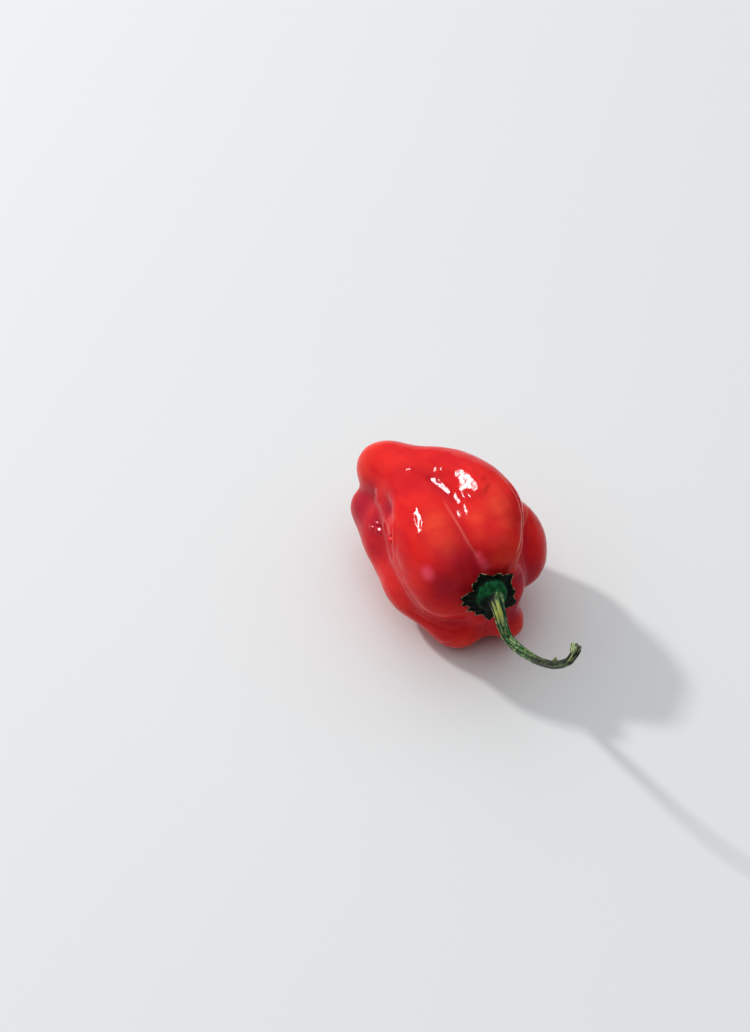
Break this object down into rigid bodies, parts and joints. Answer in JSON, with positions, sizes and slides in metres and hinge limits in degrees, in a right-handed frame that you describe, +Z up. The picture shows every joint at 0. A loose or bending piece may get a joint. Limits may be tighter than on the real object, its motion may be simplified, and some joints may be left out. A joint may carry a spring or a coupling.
{
  "type": "red habanero chilli pepper",
  "caption": "Ripe red habanero chilli with a lobed glossy pod, toothed green calyx and curved cut stem, lying on its side as picked.",
  "frame": {"origin": "middle of the underside of the whole chilli's box, on the surface that it rests on", "axes": "+Z up, -Y towards the front, where the calyx faces and the stem reaches out, +X to the right"},
  "size_m": [0.05, 0.0762, 0.04],
  "materials": {
    "pod_skin": "waxy gloss, ripe red skin",
    "calyx_green": "dull dark green, leathery",
    "stem_green": "dull green, ribbed and woody"
  },
  "bodies": {
    "root": {"pod": "pod_skin", "calyx": "calyx_green", "stem": "stem_green"}
  },
  "joints": []
}
